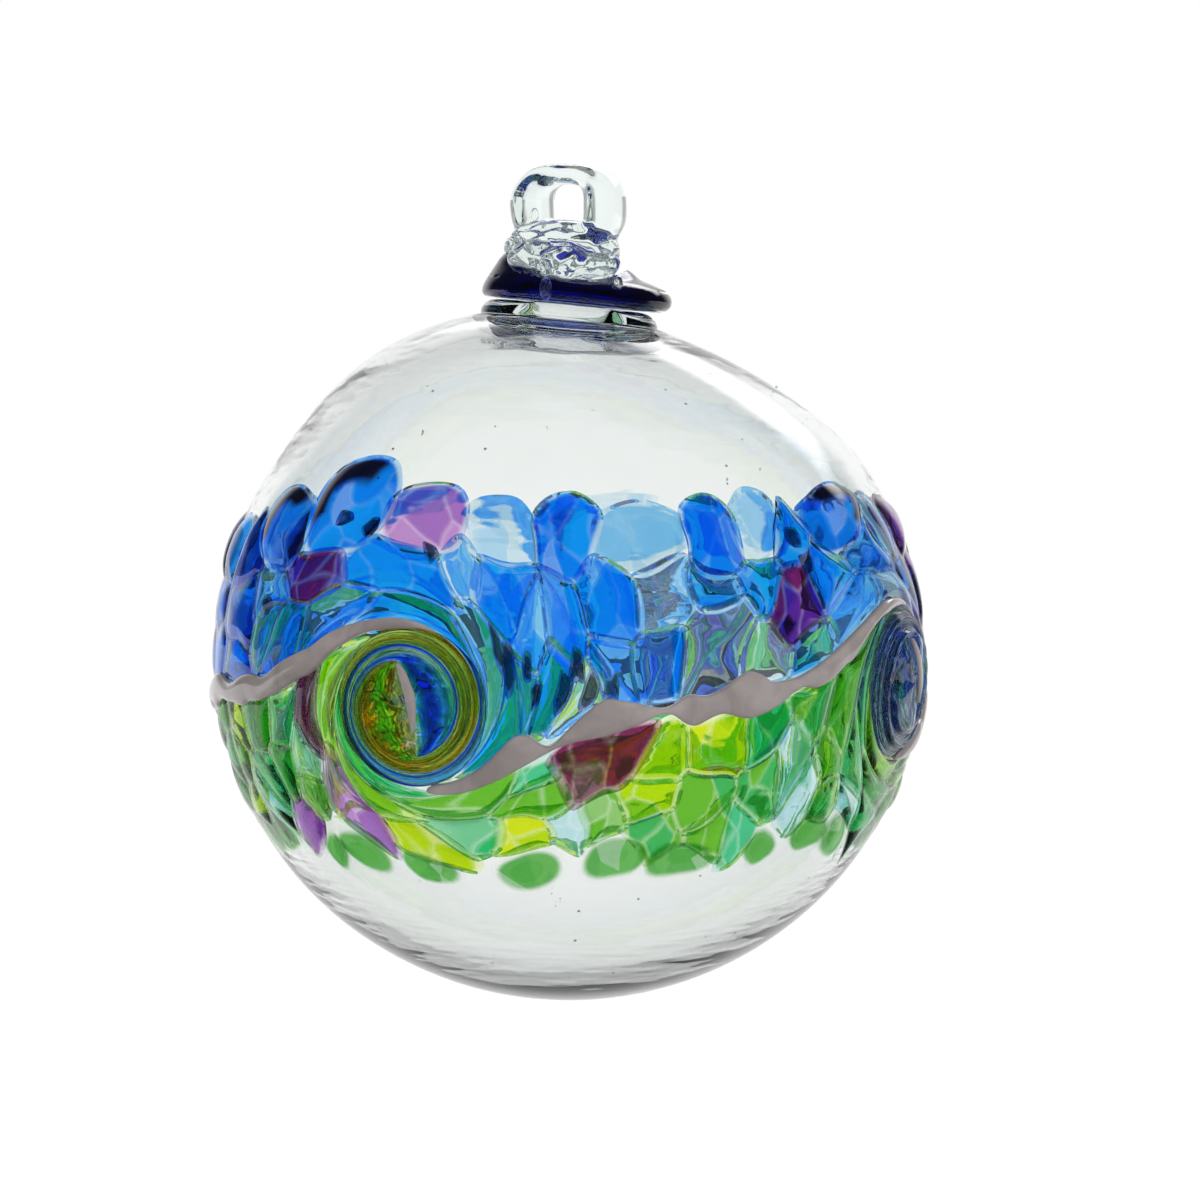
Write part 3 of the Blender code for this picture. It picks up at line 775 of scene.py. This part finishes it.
for i in range(TWIRL_COUNT):
    twirl = glass_ball(f"twirl_boss_{i + 1}", segments=144, rings=96, creased=True)
    before = twirl.data.attributes.new("unwound", "FLOAT_VECTOR", "POINT")
    for vertex in twirl.data.vertices:
        share = min(math.hypot(vertex.co.x, vertex.co.y), 1.0)
        bearing = math.atan2(vertex.co.y, vertex.co.x)
        distance = TWIRL_EDGE * share
        turned_back = bearing + wound(distance)
        across = distance * math.cos(turned_back)
        up = distance * math.sin(turned_back)
        if distance < TWIRL_CORE:
            up /= math.sqrt(1.04 - (across / TWIRL_CORE) ** 2)
        before.data[vertex.index].vector = (across, up, LAYER_STEP * i)
        threads = math.cos(2.0 * turned_back + 1.0) + 0.6 * math.cos(5.0 * turned_back)
        rimward = min(share / 0.5, 1.0) * min((1.0 - share) / 0.08, 1.0)
        height = TWIRL_RIM * (1.0 - share ** 8.0) + TWIRL_DOME * (1.0 - share ** 2.0)
        height += TWIRL_RIDGE * threads * rimward - CHIP_SINK
        if vertex.co.z < -0.001:
            height = -CHIP_SINK
        along = twirl_centre(i) + distance * math.cos(bearing)
        vertex.co = on_ball(along, distance * math.sin(bearing), height)
    twirl.data.materials.append(wound_violet if i in VIOLET_TWIRLS else wound_lime)
    tongue = glass_ball("tongue", segments=16, rings=48)
    for vertex in tongue.data.vertices:
        share = math.acos(min(max(vertex.co.z, -1.0), 1.0)) / math.pi
        around = math.atan2(vertex.co.y, vertex.co.x)
        flat = TONGUE[0] * (1.0 - share) ** 2
        flat += TONGUE[1] * 2.0 * share * (1.0 - share)
        flat += TONGUE[2] * share ** 2
        flat.x += TONGUE_WIDTH / 2.0 * math.sin(math.pi * share ** 0.8) ** 0.6 * math.cos(around)
        dome = TWIRL_RIM + TWIRL_DOME * (1.0 - (flat.length / TWIRL_EDGE) ** 2)
        vertex.co = on_ball(twirl_centre(i) + flat.x, flat.y, dome + TONGUE_RISE * math.sin(around))
    tongue.data.materials.append(taupe_glass)
    fuse(twirl, [tongue])
    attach(twirl, "root")
    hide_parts(f"twirl_{i + 1}")

# The seal is a dollop of cobalt glass, dropped hot over the blowing hole and pressed down. It slopes with
# the lip, stands steep on the left and runs out into a thick rolled lobe on the right.
UP = Vector((0.0, 0.0, 1.0))
SEAT_GAP = 0.3 * MM
SPIGOT_RADIUS = 7.6 * MM
SPIGOT_LENGTH = 1.5 * MM
SPIGOT_TAPER = 0.4 * MM
SEAL_STEPS = 120
SEAL_UNEVEN = 0.35 * MM
SEAL_UNEVEN_LENGTH = 6.0 * MM
SEAL_MIDDLE = 1.0 * MM
# The seal's flank on three sides, from its foot over its crown to its dish: radius and height in millimetres.
LEFT_FLANK = [
    (16.4, 0.0), (17.9, 0.3), (18.5, 1.4), (18.2, 3.0), (17.3, 4.8), (16.2, 6.8), (15.2, 8.6), (14.0, 9.8),
    (12.6, 9.9), (11.4, 6.0), (10.0, 1.6), (7.0, 1.0)]
RIGHT_FLANK = [
    (17.4, 0.0), (19.6, 0.2), (21.0, 1.2), (21.2, 2.9), (20.0, 4.6), (17.6, 5.6), (14.6, 6.6), (12.6, 8.0),
    (11.4, 8.2), (10.4, 5.0), (9.6, 1.6), (7.0, 1.0)]
FRONT_FLANK = [
    (16.8, 0.0), (18.8, 0.2), (19.8, 1.2), (19.8, 2.4), (19.0, 3.6), (17.4, 4.6), (15.2, 5.1), (13.2, 5.1),
    (12.0, 4.4), (11.0, 2.8), (9.8, 1.4), (7.0, 1.0)]
FLANK_STEPS = 6
neck = Matrix.Translation((0.0, 0.0, LIP_TOP_Z + SEAT_GAP)) @ Matrix.Rotation(
    -NECK_SLANT, 4, RIGHT_OF_FRONT.cross(UP))


def smooth_line(points, steps):
    """Points in millimetres joined by a smooth curve that passes through each of them."""
    line = []
    for i in range(len(points) - 1):
        before, here, there, after = [
            Vector(points[min(max(i + k, 0), len(points) - 1)]) * MM for k in (-1, 0, 1, 2)]
        for j in range(steps):
            t = j / steps
            line.append(0.5 * (
                2.0 * here + (there - before) * t
                + (2.0 * before - 5.0 * here + 4.0 * there - after) * t ** 2
                + (3.0 * here - before - 3.0 * there + after) * t ** 3))
    return line + [Vector(points[-1]) * MM]


left_flank = smooth_line(LEFT_FLANK, FLANK_STEPS)
right_flank = smooth_line(RIGHT_FLANK, FLANK_STEPS)
front_flank = smooth_line(FRONT_FLANK, FLANK_STEPS)
under = [(0.0, -SPIGOT_LENGTH), (SPIGOT_RADIUS - SPIGOT_TAPER, -SPIGOT_LENGTH), (SPIGOT_RADIUS, 0.0)]
profile = under + [(point.x, point.y) for point in left_flank] + [(0.0, SEAL_MIDDLE)]
seal = turned("seal", profile, SEAL_STEPS)
flank_steps = {(round(p.x, 6), round(p.y, 6)): i for i, p in enumerate(left_flank)}
for vertex in seal.data.vertices:
    radius = math.hypot(vertex.co.x, vertex.co.y)
    step = flank_steps.get((round(radius, 6), round(vertex.co.z, 6)))
    if step is not None:
        level = Vector((vertex.co.x, vertex.co.y, 0.0)).normalized()
        side = level.dot(RIGHT_OF_FRONT)
        flank = right_flank if side > 0.0 else left_flank
        spot = front_flank[step].lerp(flank[step], side ** 2)
        swell = noise.noise(Vector((*(level * 2.0).xy, spot.y / SEAL_UNEVEN_LENGTH)))
        vertex.co = level * spot.x * (1.0 + SEAL_UNEVEN / spot.x * swell) + UP * spot.y
seal.data.transform(neck)

# Cobalt glass: so dense that a thick lump is almost black, and only thin edges let its violet blue through.
cobalt_glass, tree = empty_material("cobalt_glass")
shader = add_node(tree, "BsdfPrincipled", {
    "Base Color": linear("#B4C0F8"), "Roughness": 0.0, "IOR": 1.52, "Transmission Weight": 1.0})
body = add_node(tree, "VolumeAbsorption", {"Color": (0.0, 0.12, 0.78, 1.0), "Density": 460.0})
add_node(tree, "OutputMaterial", {"Surface": shader.outputs[0], "Volume": body.outputs[0]})
seal.data.materials.append(cobalt_glass)
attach(seal, "root")
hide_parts("cobalt_seal")

# The loop is a thick bit of clear glass, pulled up and turned over a rod. It was pressed on the seal so hot
# that its foot crumpled, draped over the seal's crown and ran down in a drip.
HOLE_WIDTH = 9.0 * MM
HOLE_HEIGHT = 9.7 * MM
LEG_THICKNESS = 7.8 * MM
LEG_DEPTH = 12.0 * MM
TOP_THICKNESS = 4.4 * MM
TOP_DEPTH = 10.0 * MM
SUNK_THICKNESS = 5.0 * MM
HOLE_SQUARENESS = 0.6
LOOP_SQUARENESS = 0.8
LOOP_VOXEL = 0.4 * MM
LOOP_WAVE = 0.35 * MM
LOOP_WAVE_LENGTH = 6.0 * MM
CRUMPLE = 0.75 * MM
CRUMPLE_LENGTH = 4.2 * MM
# The crumpling fades in below the first height and out again towards the second, both from the hole's top.
CRUMPLE_TOP = -8.0 * MM
CRUMPLE_TOP_FADE = 4.0 * MM
CRUMPLE_END = -20.5 * MM
CRUMPLE_END_FADE = 2.0 * MM
FOOT_GAP = 0.15 * MM
DRIP_OUT = 16.5 * MM
OVER_ALL = 40.0 * MM
FRONT = Vector((math.sin(FRONT_TURN), -math.cos(FRONT_TURN), 0.0))
# Lumps of the foot in millimetres: right, to the front and up from the hole's top, then half their sizes.
FOOT_LUMPS = [
    (-1.2, 0.0, -17.0, 11.2, 11.0, 7.6), (-0.9, 0.0, -11.0, 11.4, 8.6, 3.6),
    (-7.4, 8.4, -15.6, 5.0, 4.4, 3.6), (-1.0, 10.6, -16.8, 5.6, 4.4, 3.6), (6.0, 9.6, -17.0, 4.8, 3.6, 2.2),
    (-10.4, 2.5, -13.6, 3.0, 4.0, 3.0), (7.4, 3.0, -14.0, 3.2, 4.0, 3.0),
    (3.0, -9.6, -16.0, 6.4, 4.4, 3.4), (-6.0, -9.0, -15.6, 5.0, 4.2, 3.4), (7.0, -6.0, -15.6, 3.4, 3.4, 2.6),
    (-4.8, 14.2, -18.6, 1.5, 2.6, 2.4), (-4.6, 18.6, -22.2, 1.3, 1.3, 2.6),
    (10.3, 15.4, -20.8, 1.0, 1.0, 1.8)]
# A bubble of air drawn long in the left leg: its place and half its sizes in millimetres.
BUBBLE = (-7.6, -2.0, -6.8)
BUBBLE_SIZE = (0.7, 0.6, 1.9)


def squared(value, power):
    """A cosine or sine drawn towards a square's side: a lower power gives a squarer shape."""
    return math.copysign(abs(value) ** power, value)


deselect_all()
bpy.ops.mesh.primitive_torus_add(major_segments=96, minor_segments=48, major_radius=1.0, minor_radius=0.5)
loop = bpy.context.object
loop.name = "loop_glass"
for vertex in loop.data.vertices:
    angle = math.atan2(vertex.co.y, vertex.co.x)
    around = math.atan2(vertex.co.z, math.hypot(vertex.co.x, vertex.co.y) - 1.0)
    end_thickness = TOP_THICKNESS if angle > 0.0 else SUNK_THICKNESS
    hole_edge = Vector((
        squared(math.cos(angle), HOLE_SQUARENESS) * HOLE_WIDTH, 0.0,
        squared(math.sin(angle), HOLE_SQUARENESS) * HOLE_HEIGHT)) / 2.0
    outer_edge = Vector((
        squared(math.cos(angle), LOOP_SQUARENESS) * (HOLE_WIDTH / 2.0 + LEG_THICKNESS), 0.0,
        squared(math.sin(angle), LOOP_SQUARENESS) * (HOLE_HEIGHT / 2.0 + end_thickness)))
    depth = LEG_DEPTH + (TOP_DEPTH - LEG_DEPTH) * math.sin(angle) ** 2
    vertex.co = hole_edge.lerp(outer_edge, 0.5 + 0.5 * squared(math.cos(around), LOOP_SQUARENESS))
    vertex.co.y = depth / 2.0 * squared(math.sin(around), LOOP_SQUARENESS)
    vertex.co.z -= HOLE_HEIGHT / 2.0
lumps = []
for right, front, up, half_right, half_front, half_up in FOOT_LUMPS:
    lump = glass_ball("foot_lump", segments=32, rings=20)
    for vertex in lump.data.vertices:
        vertex.co = MM * (
            RIGHT_OF_FRONT * (right + half_right * vertex.co.x)
            + FRONT * (front + half_front * vertex.co.y) + UP * (up + half_up * vertex.co.z))
    lumps.append(lump)
fuse(loop, lumps)
loop.data.remesh_voxel_size = LOOP_VOXEL
bpy.ops.object.voxel_remesh()
fused = loop.modifiers.new("Fused", "SMOOTH")
fused.factor = 0.5
fused.iterations = 10
bpy.ops.object.modifier_apply(modifier="Fused")
loop.data.update()
moved = []
for vertex in loop.data.vertices:
    in_foot = min(max((CRUMPLE_TOP - vertex.co.z) / CRUMPLE_TOP_FADE, 0.0), 1.0)
    in_foot *= min(max((vertex.co.z - CRUMPLE_END) / CRUMPLE_END_FADE, 0.0), 1.0)
    ridge = 0.5 - 2.0 * abs(noise.noise(vertex.co / CRUMPLE_LENGTH))
    wave = LOOP_WAVE * noise.noise(vertex.co / LOOP_WAVE_LENGTH)
    moved.append(vertex.co + vertex.normal * (CRUMPLE * ridge * in_foot + wave))
for vertex, place in zip(loop.data.vertices, moved):
    vertex.co = place
    seal_found, seal_top = seal.ray_cast(place + UP * OVER_ALL, -UP)[:2]
    if seal_found and place.dot(FRONT) < DRIP_OUT:
        vertex.co.z = max(place.z, seal_top.z + FOOT_GAP)
bubble = glass_ball("bubble", segments=20, rings=14)
for vertex in bubble.data.vertices:
    vertex.co = MM * (Vector(BUBBLE) + Vector(BUBBLE_SIZE) * vertex.co)
bubble.data.flip_normals()
fuse(loop, [bubble])
bpy.ops.object.shade_smooth()

# The same clear glass in a thick lump, where its green shows.
bit_glass, tree = empty_material("clear_bit_glass")
shader = add_node(tree, "BsdfPrincipled", {
    "Base Color": linear("#FAFFFD"), "Roughness": 0.0, "IOR": GLASS_IOR, "Transmission Weight": 1.0})
body = add_node(tree, "VolumeAbsorption", {"Color": linear("#AEC8C0"), "Density": 16.0})
add_node(tree, "OutputMaterial", {"Surface": shader.outputs[0], "Volume": body.outputs[0]})
loop.data.materials.append(bit_glass)
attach(loop, "root")
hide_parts("hanging_loop")

# The studio is a white sweep, lit from all round, with the orb hung clear of a pale floor. The camera sees
# the floor white but for the orb's shadow. Through the glass the floor's glow is dimmer close under the orb,
# a painted shadow of the orb, and the glass mirrors only what lies behind the orb, because the room in front
# is unlit.
FLOOR_Z = -300.0 * MM
FLOOR_SIZE = 8.0
FLOOR_GLOW = 1.1
FLOOR_GLOW_SHARE = 0.75
BEHIND = (-math.sin(FRONT_TURN), math.cos(FRONT_TURN), 0.0)
deselect_all()
bpy.ops.mesh.primitive_plane_add(size=FLOOR_SIZE, location=(0.0, 0.0, FLOOR_Z))
floor = bpy.context.object
floor.name = "studio_floor"
floor_white, tree = empty_material("white_sweep")
path = add_node(tree, "LightPath")
place = add_node(tree, "TexCoord")
reach = add_node(tree, "VectorMath", {0: place.outputs["Object"]}, operation="LENGTH")
# Painted shadow: the floor's glow seen through the glass is dimmer within 0.15 to 0.4 m of the orb.
through = add_node(tree, "MapRange", {
    "Value": reach.outputs["Value"], "From Min": 0.15, "From Max": 0.4, "To Min": 0.75, "To Max": 1.06},
    interpolation_type="SMOOTHSTEP")
behind = add_node(tree, "VectorMath", {
    0: place.outputs["Object"], 1: BEHIND}, operation="DOT_PRODUCT")
mirrored = add_node(tree, "MapRange", {
    "Value": behind.outputs["Value"], "From Min": 0.0, "From Max": 0.25, "To Min": 0.06, "To Max": 0.9},
    interpolation_type="SMOOTHSTEP")
in_glass = add_node(tree, "Mix", {
    0: path.outputs["Is Transmission Ray"], 2: mirrored.outputs[0], 3: through.outputs[0]},
    data_type="FLOAT")
level = add_node(tree, "Mix", {
    0: path.outputs["Is Camera Ray"], 2: in_glass.outputs[0], 3: FLOOR_GLOW}, data_type="FLOAT")
by_glass = add_node(tree, "Math", {
    0: path.outputs["Is Transmission Ray"], 1: path.outputs["Is Glossy Ray"]}, operation="MAXIMUM")
direct = add_node(tree, "Math", {
    0: path.outputs["Is Camera Ray"], 1: FLOOR_GLOW_SHARE}, operation="MULTIPLY")
share = add_node(tree, "Math", {0: direct.outputs[0], 1: by_glass.outputs[0]}, operation="MAXIMUM")
paper = add_node(tree, "BsdfDiffuse", {"Color": linear("#F2F2F2")})
glow = add_node(tree, "Emission", {"Color": (1.0, 1.0, 1.0, 1.0), "Strength": level.outputs[0]})
both = add_node(tree, "MixShader", {0: share.outputs[0], 1: paper.outputs[0], 2: glow.outputs[0]})
add_node(tree, "OutputMaterial", {"Surface": both.outputs[0]})
floor.data.materials.append(floor_white)

# Around the sweep, the camera sees plain white. Through the glass shows a bright wall with a dim ceiling and
# four dim gaps, and the glass mirrors the backdrop, the dark room in front and one bright panel at the right.
PANEL_TURN = FRONT_TURN + math.radians(70.0)
GAP_TURN = FRONT_TURN + math.pi / 4.0
GAP_COUNT = 4.0
ROOM_LIGHT = 0.8
world = bpy.data.worlds.new("studio")
world.use_nodes = True
tree = world.node_tree
tree.nodes.clear()
scene.world = world
path = add_node(tree, "LightPath")
place = add_node(tree, "TexCoord")
way = add_node(tree, "SeparateXYZ", {0: place.outputs["Generated"]})
ceiling = add_node(tree, "MapRange", {
    "Value": way.outputs["Z"], "From Min": 0.35, "From Max": 0.7, "To Min": 1.06, "To Max": 0.35},
    interpolation_type="SMOOTHSTEP")
bearing = add_node(tree, "Math", {0: way.outputs["Y"], 1: way.outputs["X"]}, operation="ARCTAN2")
shifted = add_node(tree, "Math", {0: bearing.outputs[0], 1: GAP_TURN}, operation="SUBTRACT")
fourfold = add_node(tree, "Math", {0: shifted.outputs[0], 1: GAP_COUNT}, operation="MULTIPLY")
wave = add_node(tree, "Math", {0: fourfold.outputs[0]}, operation="COSINE")
gaps = add_node(tree, "MapRange", {
    "Value": wave.outputs[0], "From Min": 0.3, "From Max": 0.9, "To Min": 1.0, "To Max": 0.4},
    interpolation_type="SMOOTHSTEP")
through = add_node(tree, "Math", {0: ceiling.outputs[0], 1: gaps.outputs[0]}, operation="MULTIPLY")
away = add_node(tree, "VectorMath", {
    0: place.outputs["Generated"], 1: BEHIND}, operation="DOT_PRODUCT")
backdrop = add_node(tree, "MapRange", {
    "Value": away.outputs["Value"], "From Min": 0.6, "From Max": 0.9, "To Min": 0.04, "To Max": 1.0},
    interpolation_type="SMOOTHSTEP")
beside = add_node(tree, "VectorMath", {
    0: place.outputs["Generated"], 1: (math.cos(PANEL_TURN), math.sin(PANEL_TURN), 0.0)},
    operation="DOT_PRODUCT")
right = add_node(tree, "MapRange", {
    "Value": beside.outputs["Value"], "From Min": 0.7, "From Max": 0.8, "To Max": 3.0},
    interpolation_type="SMOOTHSTEP")
low = add_node(tree, "MapRange", {
    "Value": way.outputs["Z"], "From Min": 0.38, "From Max": 0.5}, interpolation_type="SMOOTHSTEP")
high = add_node(tree, "MapRange", {
    "Value": way.outputs["Z"], "From Min": 0.68, "From Max": 0.58}, interpolation_type="SMOOTHSTEP")
panel = add_node(tree, "Math", {0: low.outputs[0], 1: high.outputs[0]}, operation="MULTIPLY")
mirrored = add_node(tree, "Math", {
    0: right.outputs[0], 1: panel.outputs[0], 2: backdrop.outputs[0]}, operation="MULTIPLY_ADD")
glossy = add_node(tree, "Mix", {
    0: path.outputs["Is Glossy Ray"], 2: ROOM_LIGHT, 3: mirrored.outputs[0]}, data_type="FLOAT")
glassy = add_node(tree, "Mix", {
    0: path.outputs["Is Transmission Ray"], 2: glossy.outputs[0], 3: through.outputs[0]}, data_type="FLOAT")
level = add_node(tree, "Mix", {
    0: path.outputs["Is Camera Ray"], 2: glassy.outputs[0], 3: 1.0}, data_type="FLOAT")
background = add_node(tree, "Background", {"Color": (1.0, 1.0, 1.0, 1.0), "Strength": level.outputs[0]})
add_node(tree, "OutputWorld", {"Surface": background.outputs[0]})

# The camera stands a little to the right of the loop's hole, with a long lens.
VIEW_HEIGHT = math.radians(4.0)
LENS = 100.0
DISTANCE = 0.705
AIM_RIGHT = 6.5 * MM
AIM_UP = 11.6 * MM
aim = BALL_MIDDLE + RIGHT_OF_FRONT * AIM_RIGHT + UP * AIM_UP
back = Vector((
    math.sin(FRONT_TURN) * math.cos(VIEW_HEIGHT),
    -math.cos(FRONT_TURN) * math.cos(VIEW_HEIGHT),
    math.sin(VIEW_HEIGHT)))
lens = bpy.data.cameras.new("camera")
lens.lens = LENS
lens.sensor_width = 36.0
lens.clip_start = 0.01
camera = bpy.data.objects.new("camera", lens)
scene.collection.objects.link(camera)
camera.location = aim + back * DISTANCE
camera.rotation_euler = (-back).to_track_quat("-Z", "Y").to_euler()
scene.camera = camera

# A large soft box over the camera's right shoulder models the opaque glass and casts the orb's shadow. It
# isn't mirrored in the glass.
key_light = bpy.data.lights.new("soft_box", "AREA")
key_light.shape = "SQUARE"
key_light.size = 0.9
key_light.energy = 6.0
soft_box = bpy.data.objects.new("soft_box", key_light)
soft_box.visible_glossy = False
soft_box.visible_transmission = False
scene.collection.objects.link(soft_box)
soft_box.location = aim + RIGHT_OF_FRONT * 0.7 + UP * 0.8 + back * 0.6
soft_box.rotation_euler = (aim - soft_box.location).to_track_quat("-Z", "Y").to_euler()

# Light crosses many walls of glass before it leaves the orb.
scene.view_settings.view_transform = "Standard"
scene.cycles.max_bounces = 32
scene.cycles.transmission_bounces = 32
scene.cycles.glossy_bounces = 8
